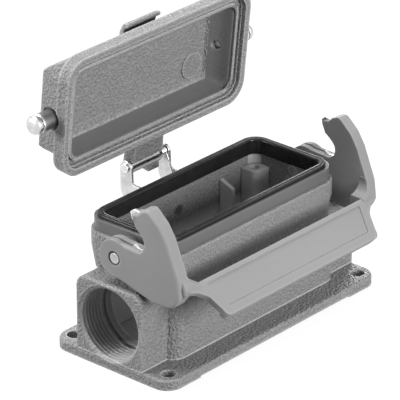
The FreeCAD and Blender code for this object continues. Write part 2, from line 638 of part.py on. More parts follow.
# Hinge hardware
def make_bracket():
    """Stamped sheet: a web riveted to the back wall and two arms with curled eyes."""
    y, z = HINGE
    wall_y = BELT_W / 2
    web_z0 = BRACKET_Z0
    inner = BRACKET_IN / 2
    outer = inner + SHEET
    web = Part.makeBox(2 * outer, SHEET, LEDGE_Z - 1.0 - web_z0, V(HINGE_X - outer, wall_y, web_z0))
    arm = side_plate([(wall_y, web_z0 + 1, 1.5), (wall_y, LEDGE_Z - 1.0, 0), (wall_y + 1.4, z - 6.2, 1.2),
                      (y - EYE_R - 0.3, z - 5.9, 1.0),
                      (y - EYE_R, z + 1.0, 0.5), (y + EYE_R, z + 1.0, 0.5), (y + EYE_R, z - 9.0, 5.0),
                      (wall_y + 7.5, web_z0 + 1, 4.0)], HINGE_X - outer, HINGE_X - inner)
    eye = rod(HINGE_X - outer, HINGE_X - inner, y, z, 2 * EYE_R)
    arm = arm.fuse(eye)
    arm = arm.cut(rod(HINGE_X - outer - 1, HINGE_X - inner + 1, y, z, HINGE_PIN_D))
    whole = web.fuse([arm, arm.mirror(V(HINGE_X, 0, 0), V(1, 0, 0))]).removeSplitter()
    hole = Part.makeCylinder(RIVET_D / 2, 6.0, V(UPPER_X, wall_y - 2, RIVET_Z), V(0, 1, 0))
    return whole.cut(hole)


def make_hinge_pin():
    y, z = HINGE
    end = BRACKET_OUT_L / 2 + 0.8
    pin = rod(HINGE_X - end, HINGE_X + end, y, z, HINGE_PIN_D)
    caps = []
    for sign in (-1, 1):
        x0 = HINGE_X + sign * BRACKET_OUT_L / 2
        x1 = HINGE_X + sign * end
        caps.append(rod(min(x0, x1), max(x0, x1), y, z, HINGE_PIN_D + 1.0))
    return pin.fuse(caps).removeSplitter()


def make_spring():
    """Torsion spring beside the knuckle: a few turns round the pin and a leg down to the bracket."""
    y, z = HINGE
    pitch = SPRING_WIRE + 0.12
    x0 = LUG_X0 + LUG_L + SPRING_WIRE / 2 + 0.15
    helix = Part.makeHelix(pitch, pitch * SPRING_TURNS, SPRING_R)
    section = Part.Wire(Part.makeCircle(SPRING_WIRE / 2, V(SPRING_R, 0, 0), V(0, 1, 0)))
    coil = Part.Wire(helix).makePipeShell([section], True, True)
    coil.rotate(V(0, 0, 0), V(0, 1, 0), 90)
    coil.rotate(V(0, 0, 0), V(1, 0, 0), -90)
    coil.translate(V(x0, y, z))
    end = V(x0 + pitch * SPRING_TURNS, y - SPRING_R, z)
    foot = V(end.x, BELT_W / 2 + SHEET + SPRING_WIRE / 2, BRACKET_Z0 + 5.0)
    leg = Part.makeCylinder(SPRING_WIRE / 2, (foot - end).Length, end, foot - end)
    return coil.fuse([leg, Part.makeSphere(SPRING_WIRE / 2, end)]).removeSplitter()


def make_rivet():
    y_in = CAVITY_W / 2
    y_out = BELT_W / 2 + SHEET
    along = V(0, 1, 0)
    shank = Part.makeCylinder(RIVET_D / 2, y_out - y_in + RIVET_TAIL_T, V(UPPER_X, y_in - RIVET_TAIL_T, RIVET_Z), along)
    tail = Part.makeCylinder(RIVET_TAIL_D / 2, RIVET_TAIL_T, V(UPPER_X, y_in - RIVET_TAIL_T, RIVET_Z), along)
    head = Part.makeCylinder(RIVET_HEAD_D / 2, RIVET_HEAD_T, V(UPPER_X, y_out, RIVET_Z), along)
    return shank.fuse([tail, head]).removeSplitter()


os.makedirs("parts", exist_ok=True)
hook = make_hook()
pin = make_lever_pin()
peg = make_peg()
sleeve = make_sleeve()
nodes = {
    "housing_base": make_housing(),
    "rim_gasket": make_seal(),
    "locking_lever": make_lever(),
    "hook_insert_left": hook,
    "hook_insert_right": mirrored(hook),
    "lever_pin_left": pin,
    "lever_pin_right": mirrored(pin),
    "cover_shell": make_cover(),
    "locking_peg_left": peg,
    "locking_peg_right": mirrored(peg),
    "peg_sleeve_left": sleeve,
    "peg_sleeve_right": mirrored(sleeve),
    "hinge_bracket": make_bracket(),
    "hinge_pin": make_hinge_pin(),
    "hinge_spring": make_spring(),
    "bracket_rivet": make_rivet(),
}
for node, shape in nodes.items():
    save(shape, node)
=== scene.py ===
# %% [markdown]
# # Dressing a heavy duty rectangular connector housing
#
# The object is the fixed half of a heavy duty connector: a die cast housing with a threaded cable
# entry, a hinged cast cover that shuts over its mouth, and a moulded lever whose slotted, hooked arms
# pull the cover down by its two pegs. Its exact shape comes packed as solids. This lesson dresses
# them. It loads the solids, remakes the forms that want a finer skin than a solid has, gives every
# surface a worked-out finish, and then sets up the light and the camera.
#
# Blender's unit is the metre, and the comments use millimetres. +Z is up from the mounting face, the
# cable entry is at -X, the lever's grip at -Y and the cover's hinge at +Y.

# %% Load the solids

import json
import math

import bmesh
import bpy
import numpy as np
from mathutils import Matrix, Vector


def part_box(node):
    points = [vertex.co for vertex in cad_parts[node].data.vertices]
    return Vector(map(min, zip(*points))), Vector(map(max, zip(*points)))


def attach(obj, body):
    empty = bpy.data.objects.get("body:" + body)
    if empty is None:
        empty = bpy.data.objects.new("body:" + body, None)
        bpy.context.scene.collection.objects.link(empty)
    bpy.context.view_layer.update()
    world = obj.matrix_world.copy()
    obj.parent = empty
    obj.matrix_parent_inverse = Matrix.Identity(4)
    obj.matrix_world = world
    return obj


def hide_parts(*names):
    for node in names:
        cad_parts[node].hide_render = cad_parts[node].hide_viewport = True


MM = 0.001
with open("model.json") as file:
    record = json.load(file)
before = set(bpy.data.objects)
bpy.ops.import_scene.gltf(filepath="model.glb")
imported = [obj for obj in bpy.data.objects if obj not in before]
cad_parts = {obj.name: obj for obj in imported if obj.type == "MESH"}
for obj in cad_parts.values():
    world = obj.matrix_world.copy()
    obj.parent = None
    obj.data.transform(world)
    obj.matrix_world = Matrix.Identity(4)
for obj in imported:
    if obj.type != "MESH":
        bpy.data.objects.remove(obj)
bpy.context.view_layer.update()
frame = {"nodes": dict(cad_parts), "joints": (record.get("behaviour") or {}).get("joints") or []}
print("solids:", ", ".join(sorted(frame["nodes"])))


# %% [markdown]
# ## A skin from a grid of points
#
# A seal or a turned peg could be built from Blender's cylinders and booleans, but a grid of points is
# shorter and exact: rows follow one section, columns follow the path it is carried along, both go once
# round, and four neighbours make a face. Where many points meet, as at the tip of a turned form, they
# are merged, so that the skin is closed. The faces are then turned outwards together.

# %% The faces of a grid, and the skin

MERGE = 0.002 * MM


def ring_faces(rows, columns):
    """The faces of a grid that is closed both ways: point (i, j) with (i+1, j), (i+1, j+1) and
    (i, j+1), where the last row and column are followed by the first."""
    number = np.arange(rows * columns).reshape(rows, columns)
    up, on = np.roll(number, -1, 0), np.roll(number, -1, 1)
    return np.stack([number, up, np.roll(up, -1, 1), on], -1).reshape(-1, 4)


def skin(name, points, material, body, node):
    """Makes a closed piece from points, shaped (rows, columns, 3), in millimetres."""
    mesh = bpy.data.meshes.new(name)
    mesh.from_pydata((points.reshape(-1, 3) * MM).tolist(), [], ring_faces(*points.shape[:2]).tolist())
    work = bmesh.new()
    work.from_mesh(mesh)
    bmesh.ops.remove_doubles(work, verts=work.verts, dist=MERGE)
    bmesh.ops.recalc_face_normals(work, faces=work.faces)
    work.to_mesh(mesh)
    work.free()
    mesh.polygons.foreach_set("use_smooth", [True] * len(mesh.polygons))
    mesh.materials.append(material)
    piece = bpy.data.objects.new(name, mesh)
    bpy.context.scene.collection.objects.link(piece)
    piece.modifiers.new("crisp_edges", "EDGE_SPLIT").split_angle = math.radians(42)
    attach(piece, body)
    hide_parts(node)
    print(name, "has", len(mesh.polygons), "faces")


print("a grid of 10 by 20 points gives", len(ring_faces(10, 20)), "faces")


# %% [markdown]
# ## Sections and paths with round corners
#
# No corner of a moulding or a turned part is sharp, and the mouth is a rectangle with round corners.
# The Bevel modifier could round a finished mesh, but it rounds every edge alike. Here each corner of a
# section carries its own radius, so a soft lip and a crisp groove can stand side by side.

# %% The rounded section and the round rectangle

def soft_section(corners, steps=7):
    """A closed section with rounded corners. A corner (u, v, r) becomes the curve
    (1-t)^2 start + 2t(1-t) corner + t^2 end, and its start and end lie r / tan(half the corner's
    angle) along its two sides."""
    u, v, radius = np.array(corners, float).T
    here = np.stack([u, v], -1)
    back = np.roll(here, 1, 0) - here
    on = np.roll(here, -1, 0) - here
    back /= np.linalg.norm(back, axis=-1, keepdims=True)
    on /= np.linalg.norm(on, axis=-1, keepdims=True)
    half = np.arccos(np.clip((back * on).sum(-1), -0.9999, 0.9999)) / 2
    reach = (radius / np.tan(half))[:, None]
    t = np.linspace(0, 1, steps)[:, None, None]
    curve = (1 - t) ** 2 * (here + back * reach) + 2 * t * (1 - t) * here + t ** 2 * (here + on * reach)
    return curve.transpose(1, 0, 2).reshape(-1, 2)


def round_rectangle(length, width, radius, steps=144):
    """Once round a rectangle with round corners. A direction (cos a, sin a) turns through a circle,
    and each point is the centre of the corner that the direction points into, plus radius times the
    direction. Returns the points and the directions."""
    a = (np.arange(steps) + 0.5) * 2 * math.pi / steps
    out = np.stack([np.cos(a), np.sin(a)], -1)
    return np.sign(out) * [length / 2 - radius, width / 2 - radius] + radius * out, out


print("a section of 4 corners has", len(soft_section([(0, 0, 1), (9, 0, 1), (9, 9, 1), (0, 9, 1)])), "points")


# %% [markdown]
# ## Writing a finish as arithmetic
#
# A finish is a network of nodes, and a network is hard to read as a picture. Here a small class wraps
# one output socket, so that `1 - edge * 0.7` adds the two Math nodes it names. Colours don't pass
# through arithmetic, because a Math node would turn them grey: they are mixed.

# %% A value

class Value:
    """An output socket. Plus, minus and times make Math nodes, with the value on either side."""

    def __init__(self, finish, socket):
        self.finish = finish
        self.socket = socket

    def __add__(self, other):
        return self.finish.maths("ADD", self, other)

    def __radd__(self, other):
        return self.finish.maths("ADD", other, self)

    def __sub__(self, other):
        return self.finish.maths("SUBTRACT", self, other)

    def __rsub__(self, other):
        return self.finish.maths("SUBTRACT", other, self)

    def __mul__(self, other):
        return self.finish.maths("MULTIPLY", self, other)

    def __rmul__(self, other):
        return self.finish.maths("MULTIPLY", other, self)


print("operators on a value: +, - and *, from either side")


# %% [markdown]
# ## The words of a finish
#
# Every other node comes from one method, which takes the node's type, its settings and what goes into
# its sockets. The finishes below could call it for everything, but they'd repeat the same few calls, so
# those get a word each: the place on the piece, a grain, a step from 0 to 1, a mix and a relief.

# %% A finish

class Finish:
    """A node tree that is being filled, with words for the nodes that every finish here uses."""

    def __init__(self, tree):
        self.tree = tree
        self.tree.nodes.clear()

    def node(self, kind, settings, inputs, output=0):
        """Adds one node: its type, its settings first, then a number, colour or Value per socket."""
        made = self.tree.nodes.new(kind)
        for name, setting in settings.items():
            setattr(made, name, setting)
        for name, given in inputs.items():
            if isinstance(given, Value):
                self.tree.links.new(given.socket, made.inputs[name])
            else:
                made.inputs[name].default_value = given
        return Value(self, made.outputs[output]) if made.outputs else None

    def maths(self, operation, first, second=0.0):
        """A Math node by its operation, such as ABSOLUTE or MAXIMUM, on one or two values."""
        return self.node("ShaderNodeMath", {"operation": operation}, {0: first, 1: second})

    def place(self):
        """The point on the piece, in metres, in the piece's own frame."""
        return self.node("ShaderNodeTexCoord", {}, {}, "Object")

    def along(self, axis):
        """One coordinate of that point, in millimetres."""
        return self.node("ShaderNodeSeparateXYZ", {}, {0: self.place()}, axis) * (1 / MM)

    def grain(self, size_mm, detail=2.0, harshness=0.55, stretch=(1, 1, 1)):
        """A cloudy pattern about 0.5, with spots about size_mm across, divided by stretch per axis."""
        where = self.place()
        if stretch != (1, 1, 1):
            where = self.node("ShaderNodeMapping", {}, {"Vector": where, "Scale": stretch})
        facts = {"Vector": where, "Scale": 1 / (size_mm * MM), "Detail": detail, "Roughness": harshness}
        return self.node("ShaderNodeTexNoise", {}, facts)

    def between(self, value, low, high):
        """0 where value is at low, 1 where it is at high, and straight in between."""
        return self.node("ShaderNodeMapRange", {"clamp": True}, {0: value, 1: low, 2: high})

    def within(self, value, half, soft):
        """1 where value is nearer to 0 than half, falling to 0 over the last soft before half."""
        return self.between(self.maths("ABSOLUTE", value), half, half - soft)

    def mix(self, first, second, share):
        """The colour that goes from first to second as share goes from 0 to 1."""
        return self.node("ShaderNodeMix", {"data_type": "RGBA"}, {0: share, 6: first, 7: second}, 2)

    def relief(self, height, depth_mm, strength, under):
        """A normal that shows height, 0 to 1, as relief depth_mm deep, over the normal under it."""
        facts = {"Height": height, "Distance": depth_mm * MM, "Strength": strength, "Normal": under}
        return self.node("ShaderNodeBump", {}, facts)

    def close(self, facts):
        """Ends the finish: a Principled shader with these sockets, on the material's output."""
        shader = self.node("ShaderNodeBsdfPrincipled", {}, facts)
        self.node("ShaderNodeOutputMaterial", {}, {"Surface": shader})


def grey(level):
    """A neutral colour: the same level in red, green and blue."""
    return (level, level, level, 1)


def new_finish(name):
    """A named material and the finish that fills its node tree."""
    material = bpy.data.materials.new(name)
    material.use_nodes = True
    return material, Finish(material.node_tree)


print("every colour here is a neutral grey, such as", grey(0.31))


# %% [markdown]
# ## Edges that catch the light
#
# No cast or moulded edge is truly sharp. A real fillet on each would be many thousands of faces, so
# the Bevel node bends the shading normal near an edge instead. Two masks are needed as well: outer
# edges are painted pale, partly as wear and partly as painted highlight, and inner corners are painted
# dark as painted shade. Two short ambient occlusions find them, one that looks into the metal and one
# that looks out of it.

# %% Rounded normal, rubbed edges and inner corners

def edges(finish, radius_mm, reach_mm=1.6):
    """Returns the normal rounded over radius_mm, a mask of outer edges and a mask of inner corners.
    Rays sent inwards meet another face soon near an outer edge, and rays sent outwards near an inner
    corner, so each mask rises from 0 to 1 as the share of rays that go free for reach_mm falls."""
    rounded = finish.node("ShaderNodeBevel", {"samples": 8}, {"Radius": radius_mm * MM})
    facts = {"Distance": reach_mm * MM}
    free_in = finish.node("ShaderNodeAmbientOcclusion", {"samples": 8, "inside": True}, facts, "AO")
    free_out = finish.node("ShaderNodeAmbientOcclusion", {"samples": 8}, facts, "AO")
    return rounded, finish.between(free_in, 0.90, 0.45), finish.between(free_out, 0.85, 0.35)


print("edges are rounded in the shading alone, so the solids keep their", len(frame["nodes"]), "exact forms")


# %% [markdown]
# ## The coat on the castings
#
# Housing and cover are die cast aluminium under a textured powder coat. Close up it is a skin of
# small bumps about a millimetre across, with a finer grit over it, and the bump tops are painted a
# little paler than the hollows, partly as the coat's own mottle and partly as painted highlight. A
# photograph of it could be laid on, but it would need unwrapping and would repeat, so two sizes of
# noise make it in space. Outer edges are painted pale, partly as wear and partly as painted highlight,
# and inner corners are painted dark as painted shade. The coat isn't the same all over, so three masks
# say where it is plain, where it is painted in shade and where a painted highlight line runs.

# %% A textured coat

BUMP_MM, GRIT_MM, HAZE_MM = 0.95, 0.42, 14.0


def textured_coat(name, level, plain, dark, highlight_line_zone, inner=1.0, round_mm=0.5, contrast=0.20, depth_mm=0.48):
    """Grey = level times (1 - contrast) to (1 + contrast) by the bumps, paler at outer edges as wear and
    painted highlight, darker in inner corners as painted shade. Three functions give the masks of the
    zones: the plain zone, the painted shade and the painted highlight line; inner is how much paler than
    the rest the plain zone is painted, as painted light."""
    material, coat = new_finish(name)
    normal, wear_and_highlight, corner = edges(coat, round_mm, 1.3)
    smooth, shade, fillet_highlight = plain(coat), dark(coat), highlight_line_zone(coat)
    wear_and_highlight = coat.maths("MAXIMUM", wear_and_highlight, fillet_highlight)
    bumps = coat.grain(BUMP_MM, 2.0, 0.45)
    grit = coat.grain(GRIT_MM, 2.0, 0.6)
    haze = coat.between(coat.grain(HAZE_MM, 3.0), 0.35, 0.65)
    # Pale spots on the bumps and the grit, partly the coat's own mottle and partly painted highlight on
    # the bump tops, which fade in the plain zone, under a slow haze.
    spots = coat.between(bumps, 0.38, 0.62) * 0.65 + coat.between(grit, 0.38, 0.62) * 0.35
    spots = 0.5 + (spots - 0.5) * (1 - smooth * 0.90)
    tone = coat.mix(grey(level * (1 - contrast)), grey(level * (1 + contrast)), spots)
    tone = coat.mix(tone, grey(level * 1.15), haze * 0.25)
    # The zones lie over that: the plain zone, painted paler by inner as painted light; the painted shade
    # zone; painted shade in inner corners, left off on the painted highlight line; and last the pale
    # edges, partly wear and partly painted highlight.
    tone = coat.mix(tone, grey(level * inner), smooth * 0.8)
    tone = coat.mix(tone, grey(level * 0.20), shade)
    tone = coat.mix(tone, grey(level * 0.40), corner * 0.70 * (1 - fillet_highlight))
    tone = coat.mix(tone, grey(min(level * 2.2, 0.6)), wear_and_highlight * (0.85 - shade * 0.75) * (1 - smooth * 0.6))
    # The relief is flat where the coat is plain, and lower at the pale edges and on the painted highlight
    # line.
    height = coat.between(bumps, 0.34, 0.66) * (1 - smooth * 0.92) * (1 - wear_and_highlight * 0.6)
    relief = coat.relief(coat.between(grit, 0.30, 0.70), depth_mm * 0.2, 0.5, normal)
    relief = coat.relief(height, depth_mm, 0.85, relief)
    coat.close({"Base Color": tone, "Roughness": 0.30 + grit * 0.16, "Normal": relief,
                "Specular IOR Level": 0.45})
    return material


print("bumps", BUMP_MM, "mm across, with grit of", GRIT_MM, "mm")


# %% [markdown]
# ## Where the housing's coat differs
#
# The inside of the mouth is out of reach of the spray's texture and is plain, and so, less, is the
# threaded entry, where a tap has cut the coat away; both are also painted paler, as painted light in
# the shaded mouth and bore. The collar under the seal is painted darker, as a painted reflection of
# the dark surroundings in its smooth face. In the fillet where the walls stand on the flange a pale
# painted highlight line runs. Faces could be picked by hand for each zone, but the mesh may change, so
# the zones are boxes and a cylinder in space, given by the mouth's and the entry's sizes.

# %% The housing's zones

MOUTH_LENGTH, MOUTH_WIDTH, MOUTH_ROUND = 85.6, 34.0, 4.5
ENTRY_HEIGHT, ENTRY_RADIUS = 18.0, 14.6
END_WALL, OVER_BOSS, COLLAR_FOOT, FLANGE_TOP = -43.0, 38.5, 46.3, 4.0
seal_low, seal_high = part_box("rim_gasket")
MIDDLE = (seal_low.x + seal_high.x) / 2 / MM


def inside_or_bore(coat):
    """1 inside the mouth and on the collar's level, a quarter in the entry's bore. The mouth's range
    is |x - middle| < half its length and |y| < half its width, without the boss's outside, which is
    the part past the end wall and not over the boss."""
    x, y, z = coat.along("X"), coat.along("Y"), coat.along("Z")
    in_length = coat.within(x - MIDDLE, MOUTH_LENGTH / 2 - 0.08, 0.12)
    in_width = coat.within(y, MOUTH_WIDTH / 2 - 0.02, 0.08)
    boss = coat.between(x, END_WALL + 0.2, END_WALL - 0.2) * coat.between(z, OVER_BOSS + 0.5, OVER_BOSS - 0.5)
    mouth = in_length * in_width * (1 - boss)
    up = z - ENTRY_HEIGHT
    near = coat.between(coat.maths("SQRT", y * y + up * up), ENTRY_RADIUS, ENTRY_RADIUS - 0.2)
    bore = near * coat.between(x, END_WALL + 0.6, END_WALL + 0.2) * 0.25
    collar = coat.between(z, COLLAR_FOOT - 0.1, COLLAR_FOOT + 0.1)
    return coat.maths("MAXIMUM", coat.maths("MAXIMUM", mouth, bore), collar)


def collar_band(coat):
    """0.85 on the collar, outside of the mouth and above the collar's foot: there the collar is painted dark,
    as a painted reflection of its dark surroundings.
    """
    y = coat.maths("ABSOLUTE", coat.along("Y"))
    x = coat.maths("ABSOLUTE", coat.along("X") - MIDDLE)
    past_width = coat.between(y, MOUTH_WIDTH / 2, MOUTH_WIDTH / 2 + 0.1)
    past_length = coat.between(x, MOUTH_LENGTH / 2, MOUTH_LENGTH / 2 + 0.1)
    outside = coat.maths("MAXIMUM", past_width, past_length)
    return coat.between(coat.along("Z"), COLLAR_FOOT - 0.05, COLLAR_FOOT + 0.1) * outside * 0.85


def wall_foot(coat):
    """0.8 in the fillet where the walls stand on the flange, where a pale painted highlight line runs: up
    from 0 to 0.2 mm above the flange, and down again from 0.6 to 0.9 mm above it."""
    height = coat.along("Z") - FLANGE_TOP
    return coat.between(height, 0.0, 0.2) * coat.between(height, 0.9, 0.6) * 0.8


# The mouth and bore are painted 2.6 times paler as painted light, the collar is painted dark as a painted
# reflection, and the wall's foot carries a painted highlight line.
housing_coat = textured_coat("housing_coat", 0.245, inside_or_bore, collar_band, wall_foot, 2.6)
print("coat of the housing:", housing_coat.name, "about x", round(MIDDLE, 2))


# %% [markdown]
# ## Where the cover's coat differs
#
# The cover's hollow is smoother than its outside. Its steep walls are painted darker as painted shade,
# at the right end above all, and so is the lug, and a pale painted highlight line runs where its floor
# meets its long walls. The cover is packed open, so its sizes lie askew there. An empty could carry
# turned coordinates, but the export removes what a material points to, so two lines of arithmetic turn
# each point back to shut about the hinge.

# %% The cover's zones

HINGE = next(joint for joint in frame["joints"] if joint["name"] == "cover_hinge")
HINGE_Y, HINGE_Z = HINGE["pos_m"][1] / MM, HINGE["pos_m"][2] / MM
OPEN_BY = math.radians(HINGE["range_deg"][1])
HOLLOW_HALF_LENGTH, HOLLOW_HALF_WIDTH, HOLLOW_LOW, HOLLOW_FLOOR, LONG_WALL = 43.1, 17.3, 40.0, 61.0, 12.25
RIGHT_END, LUG_TOP, LUG_FRONT = 37.5, 62.4, 27.25


def shut(coat):
    """x from the middle, y and z of a point of the cover, in millimetres, after it is turned back by
    the open angle about the hinge: y' = y cos - z sin and z' = y sin + z cos, measured from it."""
    y, z = coat.along("Y") - HINGE_Y, coat.along("Z") - HINGE_Z
    cos, sin = math.cos(OPEN_BY), math.sin(OPEN_BY)
    return coat.along("X") - MIDDLE, y * cos - z * sin + HINGE_Y, y * sin + z * cos + HINGE_Z


def in_hollow(coat, low, high):
    """1 inside the cover's hollow, between the heights low and high of the shut cover."""
    x, y, z = shut(coat)
    inside = coat.within(x, HOLLOW_HALF_LENGTH, 0.1) * coat.within(y, HOLLOW_HALF_WIDTH, 0.1)
    return inside * coat.between(z, high + 0.2, high - 0.2) * coat.between(z, low - 0.2, low + 0.2)


def hollow_walls(coat):
    """1 on the hollow's walls, up to its floor."""
    return in_hollow(coat, HOLLOW_LOW, HOLLOW_FLOOR)


def floor_foot(coat):
    """0.6 where the cover's floor meets its long walls, where a pale painted highlight line runs."""
    x, y, z = shut(coat)
    floor_skin = in_hollow(coat, HOLLOW_FLOOR - 0.1, HOLLOW_FLOOR + 0.7)
    return floor_skin * coat.between(coat.maths("ABSOLUTE", y), LONG_WALL - 0.25, LONG_WALL + 0.25) * 0.6


def walls_and_lug(coat):
    """A quarter on the hollow's walls, rising to 0.65 at the right end, and half on the lug, which
    hangs from the open cover: where the coat is painted dark as painted shade."""
    x, y, z = coat.along("X"), coat.along("Y"), coat.along("Z")
    right_end = coat.between(x, RIGHT_END - 1.0, RIGHT_END + 1.0)
    lug = coat.between(z, LUG_TOP + 0.2, LUG_TOP - 0.2) * coat.between(y, LUG_FRONT - 0.25, LUG_FRONT + 0.25)
    return coat.maths("MAXIMUM", hollow_walls(coat) * (right_end * 0.4 + 0.25), lug * 0.5)


# The cover's walls and lug are painted dark as painted shade, and the floor's foot carries a painted
# highlight line.
cover_coat = textured_coat("cover_coat", 0.25, hollow_walls, walls_and_lug, floor_foot, round_mm=1.0)
print("coat of the cover:", cover_coat.name, "turned back by", HINGE["range_deg"][1], "degrees")


# %% [markdown]
# ## The moulded lever
#
# The lever is glass-filled plastic, moulded in a polished tool. It is smooth, and what shows is a soft
# sheen, a faint flow of the fibres and slightly paler edges, partly wear and partly painted highlight;
# inner corners are painted darker as painted shade. A single flat colour would look like paint, so a
# slow cloud, stretched along the grip, and a fine grain move the grey by a few hundredths.

# %% Lever plastic

def lever_plastic(name, level):
    """Grey = level times 0.95 to 1.05, by six parts of a slow cloud and four of a fine grain."""
    material, plastic = new_finish(name)
    normal, wear_and_highlight, corner = edges(plastic, 0.55)
    flow = plastic.between(plastic.grain(20.0, 3.0, 0.5, (0.4, 1.0, 1.0)), 0.35, 0.65)
    fine = plastic.between(plastic.grain(0.5, 2.0, 0.6), 0.35, 0.65)
    tone = plastic.mix(grey(level * 0.95), grey(level * 1.05), flow * 0.6 + fine * 0.4)
    # Inner corners painted darker as painted shade, and outer edges paler as wear and painted highlight.
    tone = plastic.mix(tone, grey(level * 0.70), corner * 0.4)
    tone = plastic.mix(tone, grey(level * 1.22), wear_and_highlight * 0.8)
    plastic.close({"Base Color": tone, "Roughness": 0.44 + fine * 0.10,
                   "Normal": plastic.relief(fine, 0.02, 0.4, normal), "Specular IOR Level": 0.25})
    return material


lever_grey = lever_plastic("lever_grey", 0.295)
print("lever:", lever_grey.name)


# %% [markdown]
# ## The rubber of the seal
#
# Rubber is almost black, so its look is all in the gloss and in the dust on it. A darker grey with a
# dull shader would be simpler, but it would lose the thin bright line that a moulded lip draws. Here the
# rubber stays glossy, and dust lifts the grey and takes a little of the gloss away in patches.

# %% Seal rubber

def seal_rubber(name, level):
    """Grey = level, going half the way to 1.8 times it where dust lies, and rougher there."""
    material, rubber = new_finish(name)
    dust = rubber.between(rubber.grain(3.0, 4.0, 0.65), 0.42, 0.66)
    skin_of_mould = rubber.grain(0.6)
    own_normal = rubber.node("ShaderNodeNewGeometry", {}, {}, "Normal")
    rubber.close({"Base Color": rubber.mix(grey(level), grey(level * 1.8), dust * 0.5),
                  "Roughness": 0.20 + dust * 0.05, "Specular IOR Level": 0.35,
                  "Normal": rubber.relief(skin_of_mould, 0.006, 0.2, own_normal)})
    return material


black_rubber = seal_rubber("black_rubber", 0.012)
print("seal:", black_rubber.name)


# %% [markdown]
# ## Plated and plain steel
#
# Plated steel is a mirror blurred by fine scratches, and the pressed parts are brushed in the direction
# they were rolled. An anisotropic shader could blur the mirror one way, but it is lost when the model is
# exported, so the scratches are a fine noise, drawn out along the rolling direction, that moves the
# roughness and bends the normal.

# %% Four steels

def steel(name, level, roughness, brushed=(1.0, 1.0, 1.0)):
    """Metal of this grey, duller in patches 2.6 mm across, darker in inner corners as painted shade and
    brighter at outer edges as wear and painted highlight. The scratches are grain of 0.35 mm drawn out
    along the axis whose brushed factor is small."""
    material, metal = new_finish(name)
    normal, wear_and_highlight, corner = edges(metal, 0.25, 0.9)
    scratch = metal.grain(0.35, 2.0, 0.6, brushed)
    patch = metal.between(metal.grain(2.6, 3.0, 0.6), 0.38, 0.62)
    tone = metal.mix(grey(level * 0.84), grey(level * 1.04), patch)
    # Inner corners painted darker as painted shade, and outer edges brighter as wear and painted highlight.
    tone = metal.mix(tone, grey(level * 0.35), corner * 0.7)
    tone = metal.mix(tone, grey(min(level * 1.3, 0.95)), wear_and_highlight)
    metal.close({"Base Color": tone, "Metallic": 1.0, "Roughness": roughness * (0.6 + scratch * 0.8),
                 "Normal": metal.relief(scratch, 0.01, 0.25, normal)})
    return material


bright_steel = steel("bright_steel", 0.66, 0.28)
rolled_steel = steel("rolled_steel", 0.60, 0.32, (1.0, 1.0, 0.15))
worn_steel = steel("worn_steel", 0.40, 0.45)
dull_steel = steel("dull_steel", 0.20, 0.42)
print("steels:", bright_steel.name, rolled_steel.name, worn_steel.name, dull_steel.name)


# %% [markdown]
# ## Dressing the solids
#
# Each solid keeps its mesh and gets its finish. Its round faces are smooth and its edges crisp. The
# mesh could be cleaned for that, but it has to stay as it is, so two modifiers do the work without
# touching it: Weld closes the seams between the loose triangles, and Edge Split opens them again
# wherever two faces meet at more than 28 degrees.

# %% Give every solid its finish

FINISH = {
    "housing_base": housing_coat,
    "cover_shell": cover_coat,
    "locking_lever": lever_grey,
    "rim_gasket": black_rubber,
    "hinge_bracket": rolled_steel,
    "hinge_pin": bright_steel,
    "hinge_spring": bright_steel,
    "bracket_rivet": dull_steel,
}
PAIRS = {
    "hook_insert": bright_steel,
    "lever_pin": worn_steel,
    "peg_sleeve": dull_steel,
    "locking_peg": bright_steel,
}
FINISH.update({f"{pair}_{side}": metal for pair, metal in PAIRS.items() for side in ("left", "right")})


def dress(node, finish):
    """Puts the finish on a solid and adds the two modifiers."""
    piece = frame["nodes"][node]
    piece.data.materials.clear()
    piece.data.materials.append(finish)
    piece.data.polygons.foreach_set("use_smooth", [True] * len(piece.data.polygons))
    piece.modifiers.new("weld", "WELD").merge_threshold = MERGE
    piece.modifiers.new("crisp_edges", "EDGE_SPLIT").split_angle = math.radians(28)
    return len(piece.data.polygons)


print("triangles dressed:", sum(dress(node, finish) for node, finish in FINISH.items()))


# %% [markdown]
# ## The rubber seal
#
# The seal is one moulding pressed over the collar: a lining reaches down inside the mouth, a flat top
# lies on the collar, and its inner lip is well rounded, so that it draws a thin bright line round the
# mouth. A shallow groove runs along the top. It is one section carried round the mouth's round
# rectangle, which keeps the same thickness in the corners, where a stretched ring would thin out.

# %% Carry the section round the mouth

TOP, FOOT, COLLAR = seal_high.z / MM, seal_low.z / MM, 50.9
WALL_IN, WALL_OUT = -0.95, -0.05
REACH = (seal_high.x - seal_low.x) / MM / 2 - MOUTH_LENGTH / 2
GROOVE = 0.22

seal_section = soft_section([
    (WALL_IN, FOOT, 0.20),
    (WALL_IN, TOP, 0.80),
    (0.34, TOP, 0.10),
    (0.42, TOP - GROOVE, 0.08),
    (0.72, TOP - GROOVE, 0.08),
    (0.86, TOP, 0.12),
    (REACH, TOP, 0.35),
    (REACH, COLLAR, 0.08),
    (WALL_OUT, COLLAR, 0.05),
    (WALL_OUT, FOOT, 0.05),
])
path, outward = round_rectangle(MOUTH_LENGTH, MOUTH_WIDTH, MOUTH_ROUND)
flat = path[None] + seal_section[:, None, :1] * outward[None]
rise = np.broadcast_to(seal_section[:, None, 1:], flat.shape[:2] + (1,))
ring = np.concatenate([flat, rise], -1) + [MIDDLE, 0.0, 0.0]
skin("seal_ring", ring, black_rubber, "base", "rim_gasket")
print("seal", round(TOP - FOOT, 2), "mm high, reaching", round(REACH, 2), "mm over the collar")


# %% [markdown]
# ## The turned pegs
#
# Each peg is turned from bar on a lathe: a slightly crowned head with a polished rim, a narrow groove,
# a thin collar, and a shank that goes into the cover. Joined cylinders would have hard rings between
# them. A lathe form is its outline, distance from the tip against radius, swept once round the axis.
# The outline starts and ends on the axis, and the points that meet there are merged.

# %% Turn the two pegs

